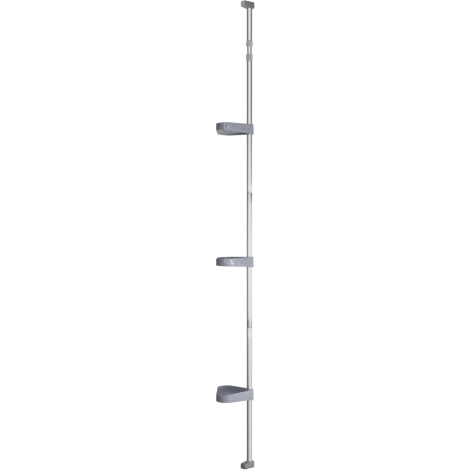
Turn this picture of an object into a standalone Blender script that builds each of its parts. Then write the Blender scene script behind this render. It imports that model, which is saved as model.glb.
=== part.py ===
"""Tension-pole shower caddy: a floor-to-ceiling pole with three corner baskets.

Metres, +Z up. The origin is on the pole's axis, at the underside of the foot's rubber pad.
The baskets fill the quarter between the -X and -Y directions; the room's corner is at +X, +Y.
"""

from math import atan2, cos, pi, radians, sin, tan

import bmesh
import bpy
from mathutils import Matrix, Vector

MM = 0.001
GAP = 0.3 * MM  # clearance between pieces that touch

# Pole
POLE_R = 12.5 * MM
POLE_WALL = 0.8 * MM
SEAM_LOW = 630 * MM
SEAM_HIGH = 1232 * MM
UPPER_TUBE_TOP = 1841 * MM
COUPLER_REACH = 40 * MM
COUPLER_WALL = 2 * MM
SEAM_FLANGE = 1.2 * MM

# Telescoping top
INNER_R = 10.5 * MM
INNER_WALL = 0.8 * MM
INNER_LOW = 1400 * MM
INNER_TOP = 1925 * MM
SLEEVE_LOW = 1896 * MM
LOCK_LOW = 1825 * MM
LOCK_TOP = 1858 * MM
SLEEVE_COLLAR_LOW = 1891 * MM
SLEEVE_COLLAR_TOP = 1919 * MM
TOTAL_HEIGHT = 2090 * MM

# Spring
SPRING_R = 8.6 * MM
SPRING_WIRE_R = 0.9 * MM
SPRING_TURNS = 11
SPRING_POINTS_A_TURN = 10

# Foot and cap, one moulding used both ways up
END_AHEAD = 42 * MM
END_BEHIND = 20 * MM
END_WIDTH = 32 * MM
END_CORNER_R = 7 * MM
END_HEIGHT = 27 * MM
END_LOW_HEIGHT = 21 * MM
END_FLAT_AHEAD = 9 * MM
END_WALL = 2.4 * MM
END_EDGE_R = 2 * MM
END_TURN = radians(-94)  # direction of the long end, from +X
PAD_THICKNESS = 2.4 * MM
PAD_INSET = 0.8 * MM
SOCKET_FLOOR = 6 * MM
BOSS_R = 15.1 * MM

# Baskets
BASKET_HEIGHTS = (327 * MM, 923 * MM, 1519 * MM)
HUB_HALF_HEIGHT = 23 * MM
HUB_TOP_R = 18.4 * MM
HUB_LOW_R = 19.6 * MM
BORE_TOP_R = 14.2 * MM
BORE_LOW_R = 15.2 * MM
SIDE_OFFSET = 17 * MM  # outer face of each straight wall, from the pole's axis
FRONT_DISTANCE = 147.3 * MM  # front wall's outer face, from the pole's axis
CORNER_R = 38 * MM
BASKET_WALL = 3 * MM
LOW_EDGE_AT_POLE = -21.2 * MM
LOW_EDGE_SLOPE = 0.058  # rise away from the pole
RIM_AT_POLE = 22.5 * MM
RIM_SLOPE = 0.036
FLOOR_TOP = -9.3 * MM
FLOOR_THICKNESS = 3 * MM

# Drain slots, in rows across the basket
SLOT_WIDTH = 4 * MM
SLOT_LENGTH = 12 * MM
SLOT_PITCH = 24 * MM
SLOT_ROWS = ((52 * MM, 3), (84 * MM, 5), (116 * MM, 8))  # distance from the pole, slots

# Wedge halves between pole and hub
WEDGE_HALF_HEIGHT = 21 * MM
WEDGE_SPLIT = 1 * MM

ROUND_STEPS = 32
HUB_STEPS = 32
FINISHES = {
    "plastic": ((0.36, 0.38, 0.45), 0.3, 0.0),
    "end_plastic": ((0.2, 0.21, 0.215), 0.4, 0.0),
    "steel": ((0.78, 0.78, 0.79), 0.16, 1.0),
    "inner_steel": ((0.82, 0.82, 0.83), 0.14, 1.0),
    "collar": ((0.42, 0.42, 0.43), 0.35, 0.0),
    "nylon": ((0.75, 0.75, 0.73), 0.5, 0.0),
    "rubber": ((0.05, 0.05, 0.052), 0.75, 0.0),
    "spring_steel": ((0.5, 0.5, 0.52), 0.3, 1.0),
}


def clear_scene():
    for obj in list(bpy.data.objects):
        bpy.data.objects.remove(obj, do_unlink=True)


def new_collection(name):
    made = bpy.data.collections.new(name)
    bpy.context.scene.collection.children.link(made)
    return made


def new_material(name, colour, roughness, metallic):
    material = bpy.data.materials.new(name)
    material.use_nodes = True
    shader = material.node_tree.nodes["Principled BSDF"]
    shader.inputs["Base Color"].default_value = (*colour, 1)
    shader.inputs["Roughness"].default_value = roughness
    shader.inputs["Metallic"].default_value = metallic
    return material


def add_object(name, mesh, collection, finish=None, z=0.0):
    """An object on the pole's axis, at the height z."""
    obj = bpy.data.objects.new(name, mesh)
    obj.location = (0, 0, z)
    collection.objects.link(obj)
    if finish:
        mesh.materials.clear()
        mesh.materials.append(MATERIALS[finish])
    return obj


def evaluated_mesh(obj, name):
    """The mesh of the object with its modifiers done, its loose doubles joined."""
    graph = bpy.context.evaluated_depsgraph_get()
    mesh = bpy.data.meshes.new_from_object(obj.evaluated_get(graph))
    mesh.name = name
    shape = bmesh.new()
    shape.from_mesh(mesh)
    bmesh.ops.remove_doubles(shape, verts=shape.verts, dist=1e-6)
    shape.to_mesh(mesh)
    shape.free()
    return mesh


def helper(name, mesh, z=0.0):
    """A cutter, or a shape that is joined to another."""
    obj = add_object(name, mesh, CUTTERS, z=z)
    obj.hide_render = True
    obj.display_type = "WIRE"
    return obj


def boolean(obj, other, operation):
    modifier = obj.modifiers.new(other.name, "BOOLEAN")
    modifier.operation = operation
    modifier.object = other


def smooth(mesh):
    mesh.shade_smooth()
    mesh.set_sharp_from_angle(angle=radians(35))


def turned_mesh(name, profile, steps=ROUND_STEPS):
    """A turned solid. The profile's (radius, height) points run down its outer side first.

    A profile that doesn't start on the axis is closed into a ring.
    """
    mesh = bpy.data.meshes.new(name)
    points = [(radius, 0, height) for radius, height in profile]
    edges = [(i, i + 1) for i in range(len(points) - 1)]
    if profile[0][0] > 0:
        edges.append((len(points) - 1, 0))
    mesh.from_pydata(points, edges, [])
    obj = bpy.data.objects.new(name, mesh)
    CUTTERS.objects.link(obj)
    screw = obj.modifiers.new("turn", "SCREW")
    screw.steps = steps
    screw.render_steps = steps
    screw.use_merge_vertices = True
    screw.merge_threshold = 1e-6
    done = evaluated_mesh(obj, name)
    bpy.data.objects.remove(obj)
    smooth(done)
    return done


def ring_profile(outer_r, inner_r, low, top):
    return [(outer_r, top), (outer_r, low), (inner_r, low), (inner_r, top)]


def arc(centre, radius, start, end, steps):
    """Points of an arc, both ends included, turning from start to end."""
    angles = [start + (end - start) * i / steps for i in range(steps + 1)]
    return [Vector((centre.x + radius * cos(a), centre.y + radius * sin(a))) for a in angles]


def rounded_outline(corners, radii, steps):
    """The polygon's outline, run anticlockwise, with each corner rounded by its radius."""
    outline = []
    for i, (corner, radius) in enumerate(zip(corners, radii)):
        back = (corners[i - 1] - corner).normalized()
        on = (corners[(i + 1) % len(corners)] - corner).normalized()
        half = back.angle(on) / 2
        if radius <= 0:
            outline.append(corner)
            continue
        centre = corner + (back + on).normalized() * radius / sin(half)
        first = corner + back * radius / tan(half) - centre
        last = corner + on * radius / tan(half) - centre
        start = atan2(first.y, first.x)
        end = atan2(last.y, last.x)
        outline += arc(centre, radius, start, end + (2 * pi if end < start else 0), steps)
    return outline


def prism_mesh(name, outline, low, high):
    """The flat outline made a solid between two heights."""
    curve = bpy.data.curves.new(name, "CURVE")
    curve.dimensions = "2D"
    curve.fill_mode = "BOTH"
    curve.extrude = (high - low) / 2
    spline = curve.splines.new("POLY")
    spline.points.add(len(outline) - 1)
    for point, place in zip(spline.points, outline):
        point.co = (place.x, place.y, 0, 1)
    spline.use_cyclic_u = True
    obj = bpy.data.objects.new(name, curve)
    CUTTERS.objects.link(obj)
    mesh = evaluated_mesh(obj, name)
    mesh.transform(Matrix.Translation((0, 0, (low + high) / 2)))
    bpy.data.objects.remove(obj)
    return mesh


def box_mesh(name, low, high, turn=None):
    """A box between two corners, then turned by a matrix."""
    shape = bmesh.new()
    bmesh.ops.create_cube(shape, size=1)
    sides = Vector(high) - Vector(low)
    middle = (Vector(high) + Vector(low)) / 2
    shape.transform(Matrix.Translation(middle) @ Matrix.Diagonal((*sides, 1)))
    if turn is not None:
        shape.transform(turn)
    mesh = bpy.data.meshes.new(name)
    shape.to_mesh(mesh)
    shape.free()
    return mesh


def tube(name, outer_r, wall, low, high, finish):
    profile = ring_profile(outer_r, outer_r - wall, 0, high - low)
    return add_object(name, turned_mesh(name, profile), OBJECT, finish, z=low)


# ---------------------------------------------------------------- pole


def build_tubes():
    end = SEAM_FLANGE / 2 + GAP
    tube("lower_tube", POLE_R, POLE_WALL, SOCKET_FLOOR + GAP, SEAM_LOW - end, "steel")
    tube("middle_tube", POLE_R, POLE_WALL, SEAM_LOW + end, SEAM_HIGH - end, "steel")
    tube("upper_tube", POLE_R, POLE_WALL, SEAM_HIGH + end, UPPER_TUBE_TOP, "steel")
    tube("inner_tube", INNER_R, INNER_WALL, INNER_LOW, INNER_TOP, "inner_steel")
    sleeve_top = TOTAL_HEIGHT - SOCKET_FLOOR - GAP
    tube("sleeve_tube", POLE_R, POLE_WALL, SLEEVE_LOW, sleeve_top, "steel")


def build_coupler(name, seam):
    """A sleeve inside both tubes, with a thin flange that shows as the seam."""
    outer_r = POLE_R - POLE_WALL - GAP
    flange_r = POLE_R - 0.2 * MM
    half_flange = SEAM_FLANGE / 2
    profile = [
        (outer_r, COUPLER_REACH),
        (outer_r, half_flange),
        (flange_r, half_flange),
        (flange_r, -half_flange),
        (outer_r, -half_flange),
        (outer_r, -COUPLER_REACH),
        (outer_r - COUPLER_WALL, -COUPLER_REACH),
        (outer_r - COUPLER_WALL, COUPLER_REACH),
    ]
    add_object(name, turned_mesh(name, profile), OBJECT, "nylon", z=seam)


def build_lock():
    """The twist collar, and the split collet that it squeezes on the inner tube."""
    low = LOCK_LOW - UPPER_TUBE_TOP
    top = LOCK_TOP - UPPER_TUBE_TOP
    bore = POLE_R + GAP
    collet_room = 13.3 * MM
    lip = INNER_R + 0.4 * MM
    collar = [
        (13.6 * MM, top),
        (14.5 * MM, top - 3 * MM),
        (15 * MM, top - 9 * MM),
        (15 * MM, top - 13 * MM),
        (14.5 * MM, top - 18 * MM),
        (13.7 * MM, top - 25 * MM),
        (13.4 * MM, low),
        (bore, low),
        (bore, -1 * MM),
        (collet_room, -0.5 * MM),
        (collet_room, 9 * MM),
        (12.5 * MM, 12.5 * MM),
        (lip, 12.5 * MM),
        (lip, top),
    ]
    add_object("lock_collar", turned_mesh("lock_collar", collar), OBJECT, "collar", UPPER_TUBE_TOP)
    inner = INNER_R + GAP
    collet = [
        (12.1 * MM, 12 * MM),
        (13 * MM, 8.7 * MM),
        (13 * MM, GAP),
        (inner, GAP),
        (inner, 12 * MM),
    ]
    slot = helper("collet_slot", box_mesh("collet_slot", (5 * MM, -MM, -MM), (20 * MM, MM, 20 * MM)))
    ring = helper("collet_ring", turned_mesh("collet_ring", collet))
    boolean(ring, slot, "DIFFERENCE")
    mesh = evaluated_mesh(ring, "lock_collet")
    add_object("lock_collet", mesh, OBJECT, "nylon", z=UPPER_TUBE_TOP)


def build_guide_plug():
    """Keeps the inner tube's low end central in the upper tube."""
    flange_r = POLE_R - POLE_WALL - GAP
    body_r = INNER_R - INNER_WALL - GAP
    profile = [
        (0, 24 * MM),
        (body_r, 24 * MM),
        (body_r, -GAP),
        (flange_r, -GAP),
        (flange_r, -12 * MM),
        (0, -12 * MM),
    ]
    add_object("guide_plug", turned_mesh("guide_plug", profile), OBJECT, "nylon", z=INNER_LOW)


def build_sleeve_collar():
    low = SLEEVE_COLLAR_LOW - SLEEVE_LOW
    top = SLEEVE_COLLAR_TOP - SLEEVE_LOW
    bore = POLE_R + GAP
    lip = INNER_R + GAP
    profile = [
        (13.4 * MM, top),
        (14.3 * MM, top - 5 * MM),
        (14.8 * MM, top - 11 * MM),
        (14.8 * MM, top - 17 * MM),
        (14.3 * MM, top - 23 * MM),
        (13.2 * MM, low + 1.2 * MM),
        (12.2 * MM, low),
        (lip, low),
        (lip, low + 2.4 * MM),
        (bore, low + 2.4 * MM),
        (bore, top),
    ]
    mesh = turned_mesh("sleeve_collar", profile)
    add_object("sleeve_collar", mesh, OBJECT, "collar", z=SLEEVE_LOW)
    skirt_r = POLE_R - POLE_WALL - GAP
    bush = [
        (skirt_r, INNER_TOP - SLEEVE_LOW),
        (skirt_r, -GAP),
        (POLE_R, -GAP),
        (POLE_R, low + 2.4 * MM + GAP),
        (lip, low + 2.4 * MM + GAP),
        (lip, INNER_TOP - SLEEVE_LOW),
    ]
    add_object("sleeve_bush", turned_mesh("sleeve_bush", bush), OBJECT, "nylon", z=SLEEVE_LOW)


def build_spring():
    """A coil between the seat on the inner tube and the spring cap at the sleeve's top."""
    seat_flange = POLE_R - POLE_WALL - GAP
    seat_body = INNER_R - INNER_WALL - GAP
    seat = [
        (0, 18 * MM),
        (5 * MM, 17 * MM),
        (6 * MM, 5 * MM),
        (seat_flange, 5 * MM),
        (seat_flange, GAP),
        (seat_body, GAP),
        (seat_body, -22 * MM),
        (0, -22 * MM),
    ]
    add_object("spring_seat", turned_mesh("spring_seat", seat), OBJECT, "nylon", z=INNER_TOP)
    cap_top = TOTAL_HEIGHT - SOCKET_FLOOR - GAP
    cap = [
        (0, 0),
        (seat_flange, 0),
        (seat_flange, -8 * MM),
        (6 * MM, -8 * MM),
        (5 * MM, -20 * MM),
        (0, -21 * MM),
    ]
    add_object("spring_cap", turned_mesh("spring_cap", cap), OBJECT, "nylon", z=cap_top)
    low = INNER_TOP + 5 * MM + GAP + SPRING_WIRE_R
    high = cap_top - 8 * MM - GAP - SPRING_WIRE_R
    curve = bpy.data.curves.new("spring", "CURVE")
    curve.dimensions = "3D"
    curve.bevel_depth = SPRING_WIRE_R
    curve.bevel_resolution = 2
    curve.use_fill_caps = True
    count = SPRING_TURNS * SPRING_POINTS_A_TURN + 1
    spline = curve.splines.new("POLY")
    spline.points.add(count - 1)
    for i, point in enumerate(spline.points):
        share = i / (count - 1)
        angle = 2 * pi * SPRING_TURNS * share
        height = (high - low) * share
        point.co = (SPRING_R * cos(angle), SPRING_R * sin(angle), height, 1)
    obj = bpy.data.objects.new("spring", curve)
    obj.location = (0, 0, low)
    OBJECT.objects.link(obj)
    curve.materials.append(MATERIALS["spring_steel"])


# ---------------------------------------------------------------- foot and cap


def end_outline(inset):
    """The foot's outline seen from above, its long end along +X."""
    half = END_WIDTH / 2 - inset
    ahead = END_AHEAD - inset
    behind = -END_BEHIND + inset
    corners = [
        Vector((behind, -half)),
        Vector((ahead, -half)),
        Vector((ahead, half)),
        Vector((behind, half)),
    ]
    return rounded_outline(corners, [END_CORNER_R - inset] * 4, 4)


def end_block_mesh(name, inset, low, drop):
    """The outline as a block whose top falls away towards the long end."""
    mesh = prism_mesh(name, end_outline(inset), low, END_HEIGHT - drop)
    shape = bmesh.new()
    shape.from_mesh(mesh)
    fall = END_HEIGHT - END_LOW_HEIGHT
    run = END_AHEAD - END_FLAT_AHEAD
    geometry = list(shape.verts) + list(shape.edges) + list(shape.faces)
    cut = bmesh.ops.bisect_plane(
        shape,
        geom=geometry,
        dist=1e-7,
        plane_co=(END_FLAT_AHEAD, 0, END_HEIGHT - drop),
        plane_no=(fall, 0, run),
        clear_outer=True,
    )
    open_edges = [e for e in cut["geom_cut"] if isinstance(e, bmesh.types.BMEdge)]
    bmesh.ops.contextual_create(shape, geom=open_edges)
    bmesh.ops.recalc_face_normals(shape, faces=shape.faces)
    shape.to_mesh(mesh)
    shape.free()
    return mesh


def end_shell_mesh():
    """The hollow moulding, open below, with a socket for the pole."""
    shell_low = PAD_THICKNESS + GAP
    block = helper("end_block", end_block_mesh("end_block", 0, shell_low, 0))
    bevel = block.modifiers.new("edges", "BEVEL")
    bevel.width = END_EDGE_R
    bevel.segments = 2
    bevel.limit_method = "ANGLE"
    bevel.angle_limit = radians(40)
    hollow = helper("end_hollow", end_block_mesh("end_hollow", END_WALL, 0, END_WALL))
    boss_profile = [(0, END_HEIGHT - 1 * MM), (BOSS_R, END_HEIGHT - 1 * MM), (BOSS_R, shell_low)]
    boss = helper("end_boss", turned_mesh("end_boss", boss_profile + [(0, shell_low)]))
    bore_r = POLE_R + GAP
    bore_profile = [(0, 40 * MM), (bore_r, 40 * MM), (bore_r, SOCKET_FLOOR), (0, SOCKET_FLOOR)]
    bore = helper("end_bore", turned_mesh("end_bore", bore_profile))
    boolean(block, hollow, "DIFFERENCE")
    boolean(block, boss, "UNION")
    boolean(block, bore, "DIFFERENCE")
    mesh = evaluated_mesh(block, "end_shell")
    mesh.transform(Matrix.Rotation(END_TURN, 4, "Z"))
    return mesh


def end_pad_mesh():
    mesh = prism_mesh("end_pad", end_outline(PAD_INSET), 0, PAD_THICKNESS)
    mesh.transform(Matrix.Rotation(END_TURN, 4, "Z"))
    return mesh


def upside_down(mesh, name):
    """A copy turned over, top to bottom, with the same outline seen from above."""
    copy = mesh.copy()
    copy.name = name
    copy.transform(Matrix.Diagonal((1, 1, -1, 1)))
    copy.flip_normals()
    return copy


def build_ends():
    shell = end_shell_mesh()
    pad = end_pad_mesh()
    cap = upside_down(shell, "cap_shell")
    ceiling_pad = upside_down(pad, "ceiling_pad")
    add_object("foot_shell", shell, OBJECT, "end_plastic")
    add_object("foot_pad", pad, OBJECT, "rubber")
    add_object("cap_shell", cap, OBJECT, "end_plastic", z=TOTAL_HEIGHT)
    add_object("ceiling_pad", ceiling_pad, OBJECT, "rubber", z=TOTAL_HEIGHT)


# ---------------------------------------------------------------- baskets


def diagonal(along, across):
    """The plan point at a distance along the basket's centre line, and across it."""
    root_half = 0.5**0.5
    return Vector((-(along - across) * root_half, -(along + across) * root_half))


def basket_outline(inset):
    """Two straight walls that meet in the hub, and a straight front with round corners."""
    side = SIDE_OFFSET - inset
    front = FRONT_DISTANCE - inset
    reach = front + side * 2**0.5
    step_in = 2 * MM
    corners = [
        Vector((side, -step_in)),
        Vector((-step_in, side)),
        diagonal(front, -reach),
        diagonal(front, reach),
    ]
    corner_r = CORNER_R - inset
    return rounded_outline(corners, [0, 0, corner_r, corner_r], 8)


def slot_outline(centre, direction):
    """A round-ended slot along the direction."""
    half = (SLOT_LENGTH - SLOT_WIDTH) / 2
    heading = atan2(direction.y, direction.x)
    radius = SLOT_WIDTH / 2
    far = arc(centre + direction * half, radius, heading - pi / 2, heading + pi / 2, 3)
    near = arc(centre - direction * half, radius, heading + pi / 2, heading + 3 * pi / 2, 3)
    return far + near


def slot_cutters():
    across = (diagonal(0, 1) - diagonal(0, 0)).normalized()
    cutters = []
    for row, (along, count) in enumerate(SLOT_ROWS):
        for i in range(count):
            offset = (i - (count - 1) / 2) * SLOT_PITCH
            name = f"slot_{row}_{i}"
            outline = slot_outline(diagonal(along, offset), across)
            mesh = prism_mesh(name, outline, FLOOR_TOP - 5 * MM, FLOOR_TOP + 2 * MM)
            cutters.append(helper(name, mesh))
    return cutters


def hub_mesh(name, top_r, low_r, extra):
    """A cone on the hub's axis, longer than the hub by extra at each end."""
    half = HUB_HALF_HEIGHT
    lean = (low_r - top_r) / (2 * half) * extra
    top = (top_r - lean, half + extra)
    low = (low_r + lean, -half - extra)
    return turned_mesh(name, [(0, top[1]), top, low, (0, low[1])], HUB_STEPS)


def slope_cutter(name, low, high, at_pole, fall):
    """A slab from low to high about a plane that falls away from the pole."""
    half = 0.3
    slab = box_mesh(name, (-half, -half, low), (half, half, high))
    away = diagonal(1, 0)
    axis = Vector((-away.y, away.x, 0))
    tilt = Matrix.Rotation(atan2(fall, 1), 4, axis)
    slab.transform(Matrix.Translation((0, 0, at_pole)) @ tilt)
    return helper(name, slab)


def basket_mesh():
    hub = helper("hub", hub_mesh("hub", HUB_TOP_R, HUB_LOW_R, 0))
    bore = helper("hub_bore", hub_mesh("hub_bore", BORE_TOP_R, BORE_LOW_R, 5 * MM))
    pocket = prism_mesh("pocket", basket_outline(BASKET_WALL), FLOOR_TOP, 30 * MM)
    floor_low = FLOOR_TOP - FLOOR_THICKNESS
    recess = prism_mesh("recess", basket_outline(BASKET_WALL), -30 * MM, floor_low)
    extra = 5 * MM
    outer = prism_mesh("walls", basket_outline(0), LOW_EDGE_AT_POLE - extra, RIM_AT_POLE + extra)
    walls = helper("walls", outer)
    above = slope_cutter("rim_slab", 0, 20 * MM, RIM_AT_POLE, RIM_SLOPE)
    below = slope_cutter("low_slab", -20 * MM, 0, LOW_EDGE_AT_POLE, -LOW_EDGE_SLOPE)
    boolean(walls, above, "DIFFERENCE")
    boolean(walls, below, "DIFFERENCE")
    boolean(walls, helper("pocket", pocket), "DIFFERENCE")
    boolean(walls, helper("recess", recess), "DIFFERENCE")
    for slot in slot_cutters():
        boolean(walls, slot, "DIFFERENCE")
    boolean(walls, hub, "UNION")
    boolean(walls, bore, "DIFFERENCE")
    mesh = evaluated_mesh(walls, "basket")
    smooth(mesh)
    return mesh


def wedge_half_mesh(name, turn):
    """Half of the split taper that jams between the pole and the hub."""
    half = WEDGE_HALF_HEIGHT
    lean = (BORE_LOW_R - BORE_TOP_R) / (2 * HUB_HALF_HEIGHT) * half
    middle_r = (BORE_TOP_R + BORE_LOW_R) / 2 - GAP
    inner_r = POLE_R + GAP
    profile = [
        (middle_r - lean, half),
        (middle_r + lean, -half),
        (inner_r, -half),
        (inner_r, half),
    ]
    ring = helper(name + "_ring", turned_mesh(name + "_ring", profile))
    low = (-30 * MM, -WEDGE_SPLIT / 2, -30 * MM)
    high = (30 * MM, 30 * MM, 30 * MM)
    boolean(ring, helper(name + "_cut", box_mesh(name + "_cut", low, high)), "DIFFERENCE")
    mesh = evaluated_mesh(ring, name)
    mesh.transform(Matrix.Rotation(turn, 4, "Z"))
    return mesh


def build_baskets():
    basket = basket_mesh()
    front_half = wedge_half_mesh("wedge_front", -pi / 4)
    back_half = wedge_half_mesh("wedge_back", 3 * pi / 4)
    for number, height in enumerate(BASKET_HEIGHTS, start=1):
        add_object(f"basket_{number}", basket, OBJECT, "plastic", z=height)
        add_object(f"wedge_front_{number}", front_half, OBJECT, "nylon", z=height)
        add_object(f"wedge_back_{number}", back_half, OBJECT, "nylon", z=height)


clear_scene()
OBJECT = new_collection("shower_caddy")
CUTTERS = new_collection("cutters")
MATERIALS = {name: new_material(name, *values) for name, values in FINISHES.items()}
build_tubes()
build_coupler("lower_coupler", SEAM_LOW)
build_coupler("upper_coupler", SEAM_HIGH)
build_lock()
build_guide_plug()
build_sleeve_collar()
build_spring()
build_ends()
build_baskets()
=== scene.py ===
"""Visual model of a floor-to-ceiling shower caddy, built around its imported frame.

Metres, +Z up. The origin is on the pole's axis, at the underside of the foot's pad.
The baskets fill the quarter between -X and -Y.
"""

import logging
from collections.abc import Callable, Sequence
from dataclasses import dataclass, field
from enum import Enum
from math import atan2, cos, pi, radians, sin

import bmesh
import bpy
from mathutils import Matrix, Vector

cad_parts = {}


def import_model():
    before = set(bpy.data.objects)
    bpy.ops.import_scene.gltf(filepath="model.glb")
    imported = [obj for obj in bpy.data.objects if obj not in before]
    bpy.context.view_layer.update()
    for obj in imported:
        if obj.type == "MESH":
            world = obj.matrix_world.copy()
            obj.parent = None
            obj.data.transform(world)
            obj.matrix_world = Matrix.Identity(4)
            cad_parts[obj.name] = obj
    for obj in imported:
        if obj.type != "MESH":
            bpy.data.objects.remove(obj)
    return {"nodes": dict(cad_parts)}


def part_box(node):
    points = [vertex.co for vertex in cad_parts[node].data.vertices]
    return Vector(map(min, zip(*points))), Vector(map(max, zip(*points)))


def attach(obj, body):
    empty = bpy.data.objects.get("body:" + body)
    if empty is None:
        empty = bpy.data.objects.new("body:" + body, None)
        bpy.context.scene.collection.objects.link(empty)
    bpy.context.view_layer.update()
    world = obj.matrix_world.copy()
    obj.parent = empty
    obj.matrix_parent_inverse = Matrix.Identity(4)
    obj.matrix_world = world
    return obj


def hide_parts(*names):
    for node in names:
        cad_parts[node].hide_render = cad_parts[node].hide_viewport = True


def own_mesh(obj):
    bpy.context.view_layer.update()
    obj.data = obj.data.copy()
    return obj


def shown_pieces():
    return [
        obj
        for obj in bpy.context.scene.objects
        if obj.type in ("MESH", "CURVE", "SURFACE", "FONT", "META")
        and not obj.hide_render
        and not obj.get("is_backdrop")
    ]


MM = 0.001
SAME_POINT = 2e-7  # metres, within which two points are one
SAME_LEVEL = 0.05 * MM
FACES_UP = 0.9  # least upward part of a level face's normal
ROUND_SIDES = 96
CORNER = 1.0  # radians, the least turn between two faces that meet in a corner
Colour = tuple[float, float, float]
Range = tuple[float, float]
Profile = list[Range]
log = logging.getLogger("shower_caddy")


class Element(Enum):
    """What a selection in edit mode is made of."""

    VERTEX = "VERT"
    EDGE = "EDGE"
    FACE = "FACE"


class Solid(Enum):
    """How one solid changes another."""

    CUT = "DIFFERENCE"
    JOIN = "UNION"


class Body(Enum):
    """The moving groups of the frame that pieces ride on."""

    POLE = "pole"
    LOCK = "lock"
    EXTENSION = "extension"
    TOP = "top"


class Slot(Enum):
    """The material slots that the frame's record names."""

    BASKET = "basket_plastic"
    END = "end_plastic"
    POLE = "pole_steel"
    INNER = "inner_steel"
    COLLAR = "collar"
    NYLON = "nylon"
    RUBBER = "rubber"
    SPRING = "spring_steel"


# ---------------------------------------------------------------- modelling


def deselect_all() -> None:
    """Leaves nothing selected, so that an operator acts on one piece alone."""
    if bpy.context.object and bpy.context.object.mode != "OBJECT":
        bpy.ops.object.mode_set(mode="OBJECT")
    bpy.ops.object.select_all(action="DESELECT")


def arc(centre: tuple[float, float], radius: float, start: float, end: float, steps: int) -> Profile:
    """Points on a round corner of a turned profile.

    Args:
        centre: The corner's centre, as a radius and a height.
        radius: The corner's own radius.
        start: The angle of the first point, in degrees from straight out.
        end: The angle of the last point.
        steps: How many straight runs the corner has.

    Returns:
        The points, first and last included.
    """
    angles = [radians(start + (end - start) * i / steps) for i in range(steps + 1)]
    return [(centre[0] + radius * cos(a), centre[1] + radius * sin(a)) for a in angles]


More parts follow.
